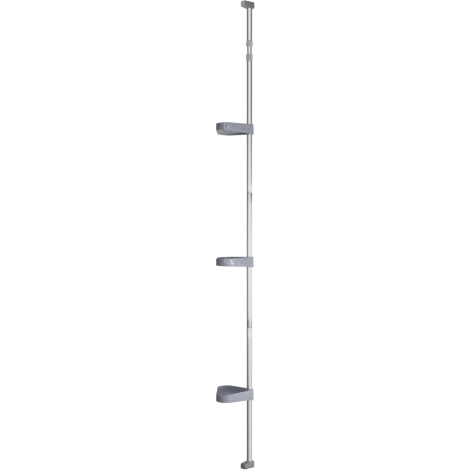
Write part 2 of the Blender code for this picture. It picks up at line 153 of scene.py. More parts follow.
class Workpiece:
    """One mesh that is shaped with edit-mode operators."""

    def __init__(self, name: str) -> None:
        """Takes the object that a primitive operator has just added.

        Args:
            name: The object's new name.
        """
        self.obj = bpy.context.object
        self.obj.name = name
        self.obj.data.name = name
        bpy.ops.object.transform_apply(location=True, rotation=True, scale=True)

    @classmethod
    def block(cls, name: str, low: Vector, high: Vector) -> "Workpiece":
        """A block between two corners."""
        deselect_all()
        middle, size = (low + high) / 2, high - low
        bpy.ops.mesh.primitive_cube_add(size=1, location=middle, scale=size)
        return cls(name)

    @classmethod
    def rod(
        cls, name: str, centre: Vector, radius: float, low: float, high: float, sides: int
    ) -> "Workpiece":
        """An upright round rod between two heights."""
        deselect_all()
        middle = (centre.x, centre.y, (low + high) / 2)
        bpy.ops.mesh.primitive_cylinder_add(
            vertices=sides, radius=radius, depth=high - low, location=middle
        )
        return cls(name)

    @classmethod
    def turned(cls, name: str, profile: Profile, sides: int, ring: bool = True) -> "Workpiece":
        """A piece turned about the pole's axis, grown from a circle one edge loop at a time.

        Args:
            name: The piece's name.
            profile: Radius and height of each loop, in order.
            sides: Points round the circle.
            ring: True for a ring whose last loop meets the first, False for a solid bar.

        Returns:
            The closed piece.
        """
        deselect_all()
        radius, height = profile[0]
        bpy.ops.mesh.primitive_circle_add(vertices=sides, radius=radius, location=(0, 0, height))
        piece = cls(name)
        piece.edit()
        bpy.ops.mesh.select_all(action="SELECT")
        for next_radius, next_height in profile[1:] + (profile[:1] if ring else []):
            rise = {"value": (0, 0, next_height - height)}
            bpy.ops.mesh.extrude_edges_move(TRANSFORM_OT_translate=rise)
            growth = next_radius / radius
            centre = (0, 0, next_height)
            bpy.ops.transform.resize(value=(growth, growth, 1), center_override=centre)
            radius, height = next_radius, next_height
        piece.merge(SAME_POINT / 2)
        if not ring:
            piece.close_ends()
        piece.face_outwards()
        return piece

    def take(self) -> None:
        """Makes this piece the one that operators act on."""
        deselect_all()
        self.obj.select_set(True)
        bpy.context.view_layer.objects.active = self.obj

    def edit(self) -> None:
        """Opens the piece in edit mode, with nothing else selected."""
        self.take()
        bpy.ops.object.mode_set(mode="EDIT")

    def merge(self, within: float = SAME_POINT) -> None:
        """Makes points that are at one place one point, in edit mode."""
        bpy.ops.mesh.select_all(action="SELECT")
        bpy.ops.mesh.remove_doubles(threshold=within)

    def close_ends(self) -> None:
        """Fills the open rims, in edit mode."""
        bpy.ops.mesh.select_all(action="DESELECT")
        bpy.ops.mesh.select_mode(type="EDGE")
        bpy.ops.mesh.select_non_manifold()
        bpy.ops.mesh.fill_holes(sides=0)

    def face_outwards(self) -> None:
        """Turns every face outwards and leaves edit mode."""
        bpy.ops.mesh.select_all(action="SELECT")
        bpy.ops.mesh.normals_make_consistent(inside=False)
        bpy.ops.object.mode_set(mode="OBJECT")

    def pick(self, kind: Element, test: Callable) -> int:
        """Selects what passes a test, in edit mode.

        Args:
            kind: Vertices, edges or faces.
            test: Called with each element.

        Returns:
            How many were selected.
        """
        bpy.ops.mesh.select_mode(type=kind.value)
        bpy.ops.mesh.select_all(action="DESELECT")
        mesh = bmesh.from_edit_mesh(self.obj.data)
        mesh.normal_update()
        groups = {Element.VERTEX: mesh.verts, Element.EDGE: mesh.edges, Element.FACE: mesh.faces}
        chosen = [element for element in groups[kind] if test(element)]
        for element in chosen:
            element.select_set(True)
        mesh.select_flush_mode()
        bmesh.update_edit_mesh(self.obj.data)
        return len(chosen)

    def round_edges(self, width: float, steps: int, test: Callable) -> None:
        """Rounds the edges that pass a test.

        Args:
            width: How far the rounding reaches from each edge.
            steps: Faces across the rounding.
            test: Called with each edge.
        """
        self.edit()
        if self.pick(Element.EDGE, test):
            bpy.ops.mesh.bevel(offset=width, segments=steps, affect="EDGES", clamp_overlap=True)
        bpy.ops.object.mode_set(mode="OBJECT")

    def combine(self, other: "Workpiece", how: Solid) -> None:
        """Joins another solid on, or cuts with it, and uses it up.

        Args:
            other: The other solid.
            how: Join or cut.
        """
        modifier = self.obj.modifiers.new("solid", "BOOLEAN")
        modifier.solver = "EXACT"
        modifier.operation = how.value
        modifier.object = other.obj
        self.apply(modifier)
        bpy.data.objects.remove(other.obj)

    def apply(self, modifier: bpy.types.Modifier) -> None:
        """Makes a modifier part of the mesh."""
        self.take()
        bpy.ops.object.modifier_apply(modifier=modifier.name)

    def absorb(self, others: Sequence["Workpiece"]) -> None:
        """Takes other meshes into this one."""
        deselect_all()
        for piece in (self, *others):
            piece.obj.select_set(True)
        bpy.context.view_layer.objects.active = self.obj
        bpy.ops.object.join()

    def wrap(self) -> None:
        """Replaces what the mesh holds with the tight skin round it, in flat faces."""
        self.edit()
        bpy.ops.mesh.select_all(action="SELECT")
        bpy.ops.mesh.convex_hull()
        bpy.ops.mesh.select_all(action="SELECT")
        bpy.ops.mesh.dissolve_limited(angle_limit=radians(0.5))
        self.face_outwards()

    def slice_off(self, point: Vector, normal: Vector) -> None:
        """Takes away what lies on the far side of a plane and closes the cut."""
        self.edit()
        bpy.ops.mesh.select_all(action="SELECT")
        bpy.ops.mesh.bisect(plane_co=point, plane_no=normal, use_fill=True, clear_outer=True)
        self.face_outwards()

    def sink(self, upper: bool, wall: float, level: float) -> None:
        """Sinks the top or the underside to a flat floor inside a wall.

        Args:
            upper: True for the top, False for the underside.
            wall: The thickness that is left all round.
            level: The new floor's height.
        """
        way = 1 if upper else -1
        self.edit()
        self.pick(Element.FACE, lambda f: way * f.normal.z > FACES_UP)
        bpy.ops.mesh.inset(thickness=wall)
        bpy.ops.mesh.extrude_region_move(TRANSFORM_OT_translate={"value": (0, 0, -way * MM)})
        bpy.ops.transform.resize(value=(1, 1, 0), center_override=(0, 0, level))
        self.face_outwards()

    def move(self, matrix: Matrix) -> None:
        """Moves the mesh itself, so that the object stays at the origin."""
        self.obj.matrix_world = matrix @ self.obj.matrix_world
        self.take()
        bpy.ops.object.transform_apply(location=True, rotation=True, scale=True)

    def copy(self, name: str) -> "Workpiece":
        """A second piece with its own mesh."""
        self.take()
        bpy.ops.object.duplicate(linked=False)
        return Workpiece(name)

    def finish(
        self,
        material: bpy.types.Material,
        slot: Slot,
        body: str,
        nodes: Sequence[str],
        crease: float = 35,
    ) -> bpy.types.Object:
        """Cleans the mesh, dresses the piece and puts it on its body.

        Args:
            material: The piece's finish.
            slot: The record's material slot; not used.
            body: The frame body that it rides on.
            nodes: The CAD nodes that it stands for.
            crease: Edges sharper than this, in degrees, stay crisp.

        Returns:
            The finished object.
        """
        self.edit()
        self.merge()
        self.face_outwards()
        bpy.ops.object.shade_smooth_by_angle(angle=radians(crease))
        self.obj.data.materials.clear()
        self.obj.data.materials.append(material)
        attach(self.obj, body)
        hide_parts(*nodes)
        log.info("%s: %d faces, rides on %s", self.obj.name, len(self.obj.data.polygons), body)
        return self.obj


# ---------------------------------------------------------------- node groups


class Graph:
    """Adds and joins shader nodes in few words."""

    def __init__(self, tree: bpy.types.NodeTree) -> None:
        """Works on one node tree."""
        self.tree = tree

    def feed(self, node: bpy.types.Node, **inputs: object) -> None:
        """Sets a node's sockets, each to a value or from the socket that feeds it.

        Args:
            node: The node.
            inputs: By name with _ for a space, or i0, i1 and so on by place.
        """
        for name, value in inputs.items():
            by_place = name[0] == "i" and name[1:].isdigit()
            socket = node.inputs[int(name[1:]) if by_place else name.replace("_", " ")]
            if isinstance(value, bpy.types.NodeSocket):
                self.tree.links.new(value, socket)
            else:
                socket.default_value = value

    def add(self, kind: str, settings: dict | None = None, **inputs: object) -> bpy.types.Node:
        """A new node.

        Args:
            kind: The node type, without its ShaderNode prefix.
            settings: The node's own properties.
            inputs: Its sockets, as feed takes them.

        Returns:
            The node.
        """
        node = self.tree.nodes.new(kind if kind.startswith("Node") else "ShaderNode" + kind)
        for name, value in (settings or {}).items():
            setattr(node, name, value)
        self.feed(node, **inputs)
        return node

    def math(self, operation: str, *values: object) -> bpy.types.NodeSocket:
        """The result of a Math node."""
        inputs = {f"i{place}": value for place, value in enumerate(values)}
        return self.add("Math", {"operation": operation}, **inputs).outputs[0]

    def noise(
        self, place: object, scale: object, detail: float = 2.0, roughness: float = 0.5
    ) -> bpy.types.NodeSocket:
        """The value of a noise texture."""
        return self.add(
            "TexNoise", Vector=place, Scale=scale, Detail=detail, Roughness=roughness
        ).outputs[0]

    def spread(self, value: object, source: Range, result: Range = (0.0, 1.0)) -> bpy.types.NodeSocket:
        """A value brought from one range to another and held inside it."""
        return self.add(
            "MapRange",
            {"clamp": True},
            Value=value,
            From_Min=source[0],
            From_Max=source[1],
            To_Min=result[0],
            To_Max=result[1],
        ).outputs[0]

    def toned(self, colour: Colour, tone: object) -> bpy.types.NodeSocket:
        """A colour made lighter or darker by a tone near 1."""
        return self.add("VectorMath", {"operation": "SCALE"}, i0=colour, Scale=tone).outputs[0]

    def mixed(self, share: object, first: object, second: object) -> bpy.types.NodeSocket:
        """One colour passing into another as share goes from 0 to 1."""
        return self.add("Mix", {"data_type": "RGBA"}, i0=share, i6=first, i7=second).outputs[2]

    def group(self, tree: bpy.types.NodeTree, **inputs: object) -> bpy.types.NodeOutputs:
        """What a shared effect puts out when it is placed in this tree."""
        return self.add("Group", {"node_tree": tree}, **inputs).outputs


def new_group(
    name: str, inputs: Sequence[tuple[str, str, object]], outputs: Sequence[tuple[str, str]]
) -> tuple[Graph, bpy.types.NodeOutputs, bpy.types.Node]:
    """An empty node group with named sockets.

    Args:
        name: The group's name.
        inputs: Name, socket type and default of each input.
        outputs: Name and socket type of each output.

    Returns:
        The graph, the sockets of what it is given, and its output node.
    """
    tree = bpy.data.node_groups.new(name, "ShaderNodeTree")
    for label, kind, default in inputs:
        socket = tree.interface.new_socket(label, in_out="INPUT", socket_type="NodeSocket" + kind)
        if default is not None:
            socket.default_value = default
    for label, kind in outputs:
        tree.interface.new_socket(label, in_out="OUTPUT", socket_type="NodeSocket" + kind)
    graph = Graph(tree)
    return graph, graph.add("NodeGroupInput").outputs, graph.add("NodeGroupOutput")


NOISE_MIDDLE = (0.35, 0.65)  # where most of a noise texture's values lie


class Effects:
    """The effects that several finishes share, each built once."""

    def __init__(self) -> None:
        """Builds every group."""
        self.mottle = self._mottle()
        self.grain = self._grain()
        self.wear = self._wear()
        self.scuffs = self._scuffs()
        self.drawn_lines = self._drawn_lines()

    def _mottle(self) -> bpy.types.NodeTree:
        """Slow drift in tone, as uneven pigment or plating leaves."""
        graph, given, result = new_group(
            "tone_drift",
            [("Vector", "Vector", None), ("Scale", "Float", 20.0), ("Amount", "Float", 0.05)],
            [("Tone", "Float")],
        )
        noise = graph.noise(given["Vector"], given["Scale"], 3.0, 0.55)
        shift = graph.math("SUBTRACT", noise, 0.5)
        reach = graph.math("MULTIPLY", given["Amount"], 4.0)
        graph.feed(result, Tone=graph.math("MULTIPLY_ADD", shift, reach, 1.0))
        return graph.tree

    def _grain(self) -> bpy.types.NodeTree:
        """Fine relief of a moulded surface, with a broader ripple under it."""
        graph, given, result = new_group(
            "moulded_grain",
            [("Vector", "Vector", None), ("Scale", "Float", 900.0), ("Ripple", "Float", 0.3)],
            [("Height", "Float"), ("Spread", "Float")],
        )
        fine = graph.noise(given["Vector"], given["Scale"], roughness=0.6)
        broad_scale = graph.math("MULTIPLY", given["Scale"], 0.06)
        broad = graph.noise(given["Vector"], broad_scale)
        height = graph.math("MULTIPLY_ADD", broad, given["Ripple"], fine)
        graph.feed(result, Height=height, Spread=graph.spread(broad, NOISE_MIDDLE, (-1.0, 1.0)))
        return graph.tree

    def _wear(self) -> bpy.types.NodeTree:
        """Where convex edges have been rubbed, broken up by noise."""
        graph, given, result = new_group(
            "edge_wear",
            [("Vector", "Vector", None), ("Amount", "Float", 0.5)],
            [("Mask", "Float")],
        )
        shape = graph.add("NewGeometry").outputs["Pointiness"]
        edge = graph.spread(shape, (0.53, 0.62))
        broken = graph.spread(graph.noise(given["Vector"], 160.0, 3.0, 0.6), (0.4, 0.62))
        both = graph.math("MULTIPLY", edge, broken)
        graph.feed(result, Mask=graph.math("MULTIPLY", both, given["Amount"]))
        return graph.tree

    def _scuffs(self) -> bpy.types.NodeTree:
        """Hairline marks in two directions."""
        graph, given, result = new_group(
            "hairline_scuffs",
            [("Vector", "Vector", None), ("Scale", "Float", 40.0), ("Amount", "Float", 0.3)],
            [("Mask", "Float")],
        )
        directions = (
            ((0.3, 0.9, 0.4), (1.0, 14.0, 4.0)),
            ((1.2, -0.5, 1.1), (11.0, 1.0, 6.0)),
        )
        layers = []
        for turn, stretch in directions:
            mapped = graph.add("Mapping", Vector=given["Vector"], Rotation=turn, Scale=stretch)
            noise = graph.noise(mapped.outputs[0], given["Scale"])
            layers.append(graph.spread(noise, (0.66, 0.76)))
        marks = graph.math("MAXIMUM", *layers)
        graph.feed(result, Mask=graph.math("MULTIPLY", marks, given["Amount"]))
        return graph.tree

    def _drawn_lines(self) -> bpy.types.NodeTree:
        """Fine lines along a tube, left by drawing and polishing it."""
        graph, given, result = new_group(
            "drawn_lines",
            [("Vector", "Vector", None), ("Scale", "Float", 1100.0), ("Length", "Float", 0.012)],
            [("Height", "Float"), ("Spread", "Float")],
        )
        stretch = graph.add("CombineXYZ", X=1.0, Y=1.0, Z=given["Length"]).outputs[0]
        along = graph.add(
            "VectorMath", {"operation": "MULTIPLY"}, i0=given["Vector"], i1=stretch
        ).outputs[0]
        fine = graph.noise(along, given["Scale"], roughness=0.6)
        coarse = graph.noise(along, graph.math("MULTIPLY", given["Scale"], 0.3), detail=1.0)
        graph.feed(result, Height=fine, Spread=graph.spread(coarse, NOISE_MIDDLE, (-1.0, 1.0)))
        return graph.tree


# ---------------------------------------------------------------- finishes


def new_material(name: str) -> tuple[bpy.types.Material, Graph, bpy.types.Node, bpy.types.NodeSocket]:
    """A material with its shader and Object coordinates ready.

    Args:
        name: The finish's name.

    Returns:
        The material, its graph, its shader and the coordinate socket.
    """
    material = bpy.data.materials.new(name)
    material.use_nodes = True
    graph = Graph(material.node_tree)
    material.node_tree.nodes.clear()
    shader = graph.add("BsdfPrincipled")
    output = graph.add("OutputMaterial")
    graph.feed(output, Surface=shader.outputs[0])
    place = graph.add("TexCoord").outputs["Object"]
    return material, graph, shader, place


@dataclass(frozen=True)
class MouldedFinish:
    """A moulded plastic, nylon or rubber surface."""

    name: str
    colour: Colour
    worn_colour: Colour
    roughness: float
    roughness_swing: float = 0.05
    gloss: float = 0.5
    coat: float = 0.0
    coat_roughness: float = 0.1
    glow_through: float = 0.0
    drift: float = 0.03
    drift_scale: float = 14.0
    grain_scale: float = 900.0
    grain_depth: float = 0.02 * MM
    ripple: float = 0.3
    wear: float = 0.4
    scuffs: float = 0.3
    scuff_scale: float = 42.0
    scuff_depth: float = 0.6  # share of the grain's depth
    dulling: float = 0.25  # added to the roughness where it is rubbed

    def build(self, effects: Effects) -> bpy.types.Material:
        """Makes the material.

        Args:
            effects: The shared node groups.

        Returns:
            The material.
        """
        material, graph, shader, place = new_material(self.name)
        tone = graph.group(
            effects.mottle, Vector=place, Scale=self.drift_scale, Amount=self.drift
        )["Tone"]
        grain = graph.group(effects.grain, Vector=place, Scale=self.grain_scale, Ripple=self.ripple)
        worn = graph.group(effects.wear, Vector=place, Amount=self.wear)["Mask"]
        scuffed = graph.group(
            effects.scuffs, Vector=place, Scale=self.scuff_scale, Amount=self.scuffs
        )["Mask"]
        swing = graph.math("MULTIPLY_ADD", grain["Spread"], self.roughness_swing, self.roughness)
        rubbed = graph.math("MAXIMUM", scuffed, worn)
        scratched = graph.math("MULTIPLY_ADD", scuffed, -self.scuff_depth, grain["Height"])
        bump = graph.add("Bump", Strength=1.0, Distance=self.grain_depth, Height=scratched)
        graph.feed(
            shader,
            Base_Color=graph.mixed(worn, graph.toned(self.colour, tone), (*self.worn_colour, 1)),
            Roughness=graph.math("MULTIPLY_ADD", rubbed, self.dulling, swing),
            Normal=bump.outputs[0],
            Specular_IOR_Level=self.gloss,
            Coat_Weight=self.coat,
            Coat_Roughness=self.coat_roughness,
            Subsurface_Weight=self.glow_through,
            Subsurface_Scale=2 * MM,
        )
        return material


@dataclass(frozen=True)
class SteelFinish:
    """A drawn steel surface, plated or bare."""

    name: str
    colour: Colour
    roughness: float
    roughness_swing: float = 0.03
    line_scale: float = 1100.0
    line_length: float = 0.012
    line_depth: float = 0.004 * MM
    drift: float = 0.02
    drift_scale: float = 9.0
    scuffs: float = 0.25
    scuff_scale: float = 36.0
    dulling: float = 0.12  # added to the roughness where it is scuffed

    def build(self, effects: Effects) -> bpy.types.Material:
        """Makes the material.

        Args:
            effects: The shared node groups.

        Returns:
            The material.
        """
        material, graph, shader, place = new_material(self.name)
        tone = graph.group(
            effects.mottle, Vector=place, Scale=self.drift_scale, Amount=self.drift
        )["Tone"]
        lines = graph.group(
            effects.drawn_lines, Vector=place, Scale=self.line_scale, Length=self.line_length
        )
        scuffed = graph.group(
            effects.scuffs, Vector=place, Scale=self.scuff_scale, Amount=self.scuffs
        )["Mask"]
        swing = graph.math("MULTIPLY_ADD", lines["Spread"], self.roughness_swing, self.roughness)
        bump = graph.add("Bump", Strength=1.0, Distance=self.line_depth, Height=lines["Height"])
        graph.feed(
            shader,
            Base_Color=graph.toned(self.colour, tone),
            Roughness=graph.math("MULTIPLY_ADD", scuffed, self.dulling, swing),
            Normal=bump.outputs[0],
            Metallic=1.0,
        )
        return material


BASKET_PLASTIC = MouldedFinish(
    "basket_blue_grey",
    colour=(0.3, 0.316, 0.374),
    worn_colour=(0.4, 0.415, 0.47),
    roughness=0.2,
    coat=0.25,
    coat_roughness=0.08,
    grain_scale=700.0,
    grain_depth=0.012 * MM,
    wear=0.35,
)
END_PLASTIC = MouldedFinish(
    "end_satin_grey",
    colour=(0.27, 0.275, 0.287),
    worn_colour=(0.4, 0.41, 0.42),
    roughness=0.38,
    grain_scale=1200.0,
    grain_depth=0.03 * MM,
    wear=0.5,
)
COLLAR_PLASTIC = MouldedFinish(
    "collar_satin_silver",
    colour=(0.5, 0.51, 0.53),
    worn_colour=(0.62, 0.63, 0.64),
    roughness=0.32,
    grain_scale=1300.0,
    grain_depth=0.02 * MM,
    wear=0.5,
)
NATURAL_NYLON = MouldedFinish(
    "natural_nylon",
    colour=(0.72, 0.72, 0.69),
    worn_colour=(0.8, 0.8, 0.78),
    roughness=0.45,
    glow_through=0.15,
    grain_scale=1000.0,
    grain_depth=0.02 * MM,
    wear=0.2,
)
SEAM_NYLON = MouldedFinish(
    "seam_grey_nylon",
    colour=(0.42, 0.42, 0.43),
    worn_colour=(0.5, 0.5, 0.5),
    roughness=0.5,
    grain_scale=1000.0,
    grain_depth=0.02 * MM,
    wear=0.2,
)
BLACK_RUBBER = MouldedFinish(
    "black_rubber",
    colour=(0.03, 0.03, 0.032),
    worn_colour=(0.09, 0.09, 0.09),
    roughness=0.75,
    roughness_swing=0.08,
    gloss=0.35,
    grain_scale=1500.0,
    grain_depth=0.05 * MM,
    wear=0.6,
    scuffs=0.5,
)
POLE_STEEL = SteelFinish("pole_polished_steel", colour=(0.8, 0.8, 0.81), roughness=0.13)
INNER_STEEL = SteelFinish("inner_polished_steel", colour=(0.83, 0.83, 0.84), roughness=0.1)
SPRING_WIRE = SteelFinish(
    "spring_wire", colour=(0.5, 0.5, 0.52), roughness=0.3, line_scale=2500.0, line_length=1.0
)


class Finishes:
    """Every material, built once and shared."""

    def __init__(self) -> None:
        """Builds the node groups and the materials."""
        effects = Effects()
        self.basket = BASKET_PLASTIC.build(effects)
        self.end = END_PLASTIC.build(effects)
        self.collar = COLLAR_PLASTIC.build(effects)
        self.nylon = NATURAL_NYLON.build(effects)
        self.seam = SEAM_NYLON.build(effects)
        self.rubber = BLACK_RUBBER.build(effects)
        self.pole = POLE_STEEL.build(effects)
        self.inner = INNER_STEEL.build(effects)
        self.spring = SPRING_WIRE.build(effects)


# ---------------------------------------------------------------- pole


@dataclass
class SteelTube:
    """A thin round tube with rolled ends, in place of one CAD tube."""

    name: str
    node: str
    body: Body
    slot: Slot
    wall: float = 0.8 * MM
    sides: int = 96
    roll: float = 0.38 * MM
    roll_steps: int = 4
    bands: int = 12

    def build(self, material: bpy.types.Material) -> bpy.types.Object:
        """Turns the tube between the CAD tube's ends.

        Args:
            material: The tube's finish.

        Returns:
            The tube.
        """
        low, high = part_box(self.node)
        outer, inner, roll = high.x, high.x - self.wall, self.roll
        rise = (high.z - low.z - 2 * roll) / self.bands
        profile = arc((outer - roll, low.z + roll), roll, -90, 0, self.roll_steps)
        profile += [(outer, low.z + roll + rise * i) for i in range(1, self.bands)]
        profile += arc((outer - roll, high.z - roll), roll, 0, 90, self.roll_steps)
        profile += arc((inner + roll, high.z - roll), roll, 90, 180, self.roll_steps)
        profile += arc((inner + roll, low.z + roll), roll, 180, 270, self.roll_steps)
        tube = Workpiece.turned(self.name, profile, self.sides)
        return tube.finish(material, self.slot, self.body.value, [self.node])


@dataclass
class Pole:
    """The three jointed tubes and the two inner couplers."""

    tubes: list[SteelTube] = field(
        default_factory=lambda: [
            SteelTube("pole_lower", "lower_tube", Body.POLE, Slot.POLE),
            SteelTube("pole_middle", "middle_tube", Body.POLE, Slot.POLE),
            SteelTube("pole_upper", "upper_tube", Body.POLE, Slot.POLE),
        ]
    )
    sides: int = 96
    flange_r: float = 12.3 * MM
    flange_half: float = 0.6 * MM
    sleeve_r: float = 11.4 * MM
    sleeve_inner_r: float = 9.4 * MM
    rib_height: float = 0.15 * MM
    ribs: int = 5

    def coupler_profile(self, seam: float, low: float, high: float) -> Profile:
        """The coupler from its low end: lead-in, ribs, flange, ribs, lead-in, bore.

        Args:
            seam: The flange's middle height.
            low: The coupler's low end.
            high: The coupler's high end.

        Returns:
            The closed profile.
        """
        lead = 1.2 * MM
        outside = [(self.sleeve_r - lead / 2, low), (self.sleeve_r, low + lead)]
        run = seam - self.flange_half - low - 2 * lead
        for i in range(self.ribs):
            middle = low + 1.5 * lead + run * (i + 0.5) / self.ribs
            outside += [
                (self.sleeve_r, middle - 1 * MM),
                (self.sleeve_r + self.rib_height, middle - 0.4 * MM),
                (self.sleeve_r + self.rib_height, middle + 0.4 * MM),
                (self.sleeve_r, middle + 1 * MM),
            ]
        outside += [
            (self.sleeve_r, seam - self.flange_half),
            (self.flange_r - 0.2 * MM, seam - self.flange_half),
            (self.flange_r, seam - 0.4 * MM),
        ]
        upper = [(r, 2 * seam - z) for r, z in reversed(outside)]
        bore = [(self.sleeve_inner_r, high), (self.sleeve_inner_r, low)]
        return outside + upper + bore

    def build(self, finishes: Finishes) -> None:
        """Builds the tubes and the couplers."""
        for tube in self.tubes:
            tube.build(finishes.pole)
        for node in ("lower_coupler", "upper_coupler"):
            low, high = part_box(node)
            seam = (low.z + high.z) / 2
            profile = self.coupler_profile(seam, low.z, high.z)
            coupler = Workpiece.turned("pole_" + node, profile, self.sides)
            coupler.finish(finishes.seam, Slot.NYLON, Body.POLE.value, [node])


@dataclass
class TelescopeTop:
    """The twist lock, the thin inner tube and the sprung sleeve above it."""

    sides: int = 144
    flute_every: int = 6
    flute_depths: tuple[float, float] = (0.972, 0.987)
    inner_tube: SteelTube = field(
        default_factory=lambda: SteelTube("top_inner_tube", "inner_tube", Body.EXTENSION, Slot.INNER)
    )
    sleeve_tube: SteelTube = field(
        default_factory=lambda: SteelTube("top_sleeve_tube", "sleeve_tube", Body.TOP, Slot.POLE)
    )
    spring_r: float = 8.6 * MM
    wire_r: float = 0.9 * MM
    wire_sides: int = 12
    spring_turns: int = 11
    spring_steps: int = 32
    spring_travel: float = 20 * MM

    def lock_profile(self, low: float, high: float) -> Profile:
        """The twist collar: a barrel outside, a stepped room for the collet inside."""
        bore, room, lip = 12.8 * MM, 13.3 * MM, 10.9 * MM
        seat = high - 17 * MM  # the upper tube's top
        edge = 0.7 * MM
        outside = [
            (bore + 0.25 * MM, low),
            (13.25 * MM, low + 0.1 * MM),
            (13.45 * MM, low + 0.5 * MM),
            (13.6 * MM, low + 4 * MM),
            (13.75 * MM, low + 8 * MM),
            (14.15 * MM, low + 9.2 * MM),
            (14.5 * MM, low + 10.2 * MM),
            (14.8 * MM, low + 15 * MM),
            (14.96 * MM, low + 18 * MM),
            (15.0 * MM, low + 21 * MM),
            (14.98 * MM, low + 24 * MM),
            (14.85 * MM, low + 27 * MM),
            (14.5 * MM, low + 30 * MM),
            (14.1 * MM, high - 1.3 * MM),
        ]
        outside += arc((13.6 * MM - edge * 0.6, high - edge), edge, 20, 90, 4)
        inside = [
            (lip + 0.3 * MM, high),
            (lip, high - 0.3 * MM),
            (lip, seat + 12.5 * MM),
            (12.5 * MM, seat + 12.5 * MM),
            (room, seat + 9 * MM),
            (room, seat - 0.5 * MM),
            (bore, seat - 1 * MM),
            (bore, low + 0.25 * MM),
        ]
        return outside + inside

    def sleeve_collar_profile(self, low: float, high: float) -> Profile:
        """The collar that closes the sleeve's low end over its bush."""
        bore, lip = 12.8 * MM, 10.8 * MM
        outside = [
            (lip + 0.3 * MM, low),
            (12.0 * MM, low),
            (12.5 * MM, low + 0.25 * MM),
            (12.9 * MM, low + 0.7 * MM),
            (13.25 * MM, low + 1.4 * MM),
            (13.75 * MM, low + 2.8 * MM),
            (14.25 * MM, low + 4.8 * MM),
            (14.6 * MM, low + 7.5 * MM),
            (14.8 * MM, low + 11 * MM),
            (14.8 * MM, low + 17 * MM),
            (14.6 * MM, low + 20.5 * MM),
            (14.25 * MM, low + 23.4 * MM),
            (13.8 * MM, high - 2.4 * MM),
            (13.45 * MM, high - 0.5 * MM),
            (13.25 * MM, high - 0.1 * MM),
            (bore + 0.25 * MM, high),
        ]
        inside = [
            (bore, high - 0.25 * MM),
            (bore, low + 2.4 * MM),
            (lip, low + 2.4 * MM),
            (lip, low + 0.3 * MM),
        ]
        return outside + inside

    def press_flutes(self, piece: Workpiece, low: float, high: float, least_r: float) -> None:
        """Presses grip flutes into the outside of a turned collar.

        Args:
            piece: The collar.
            low: The flutes' low end.
            high: The flutes' high end.
            least_r: Only points further out than this are moved.
        """
        step = 2 * pi / self.sides
        for depth, places in zip(self.flute_depths, ((0,), (1, self.flute_every - 1))):
            piece.edit()
            piece.pick(
                Element.VERTEX,
                lambda v, places=places: low < v.co.z < high
                and v.co.xy.length > least_r
                and round((atan2(v.co.y, v.co.x) % (2 * pi)) / step) % self.flute_every in places,
            )
            bpy.ops.transform.resize(value=(depth, depth, 1), center_override=(0, 0, 0))
            bpy.ops.object.mode_set(mode="OBJECT")

    def build_collars(self, finishes: Finishes) -> None:
        """Builds the twist collar and the sleeve's collar."""
        low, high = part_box("lock_collar")
        lock = Workpiece.turned("lock_twist_collar", self.lock_profile(low.z, high.z), self.sides)
        self.press_flutes(lock, low.z + 14 * MM, low.z + 28 * MM, 14.7 * MM)
        lock.finish(finishes.collar, Slot.COLLAR, Body.LOCK.value, ["lock_collar"])
        low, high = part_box("sleeve_collar")
        profile = self.sleeve_collar_profile(low.z, high.z)
        sleeve = Workpiece.turned("top_sleeve_collar", profile, self.sides)
        sleeve.finish(finishes.collar, Slot.COLLAR, Body.TOP.value, ["sleeve_collar"])

    def build_spring(self, finishes: Finishes) -> None:
        """Winds the spring from a circle of wire, and gives it a mesh of its own."""
        low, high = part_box("spring")
        deselect_all()
        start = low.z + self.wire_r
        bpy.ops.mesh.primitive_circle_add(
            vertices=self.wire_sides,
            radius=self.wire_r,
            location=(self.spring_r, 0, start),
            rotation=(pi / 2, 0, 0),
        )
        coil = Workpiece("top_spring")
        winding = coil.obj.modifiers.new("winding", "SCREW")
        winding.axis = "Z"
        winding.angle = 2 * pi
        winding.iterations = self.spring_turns
        winding.screw_offset = (high.z - low.z - 2 * self.wire_r) / self.spring_turns
        winding.steps = winding.render_steps = self.spring_steps
        winding.use_merge_vertices = False
        coil.apply(winding)
        coil.edit()
        coil.merge(0.001 * MM)
        coil.close_ends()
        coil.face_outwards()
        spring = coil.finish(finishes.spring, Slot.SPRING, Body.EXTENSION.value, ["spring"])
        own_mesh(spring)

    def build(self, finishes: Finishes) -> None:
        """Builds the whole top above the upper tube, apart from the ceiling cap."""
        self.inner_tube.build(finishes.inner)
        self.sleeve_tube.build(finishes.pole)
        self.build_collars(finishes)
        self.build_spring(finishes)


# ---------------------------------------------------------------- foot and cap


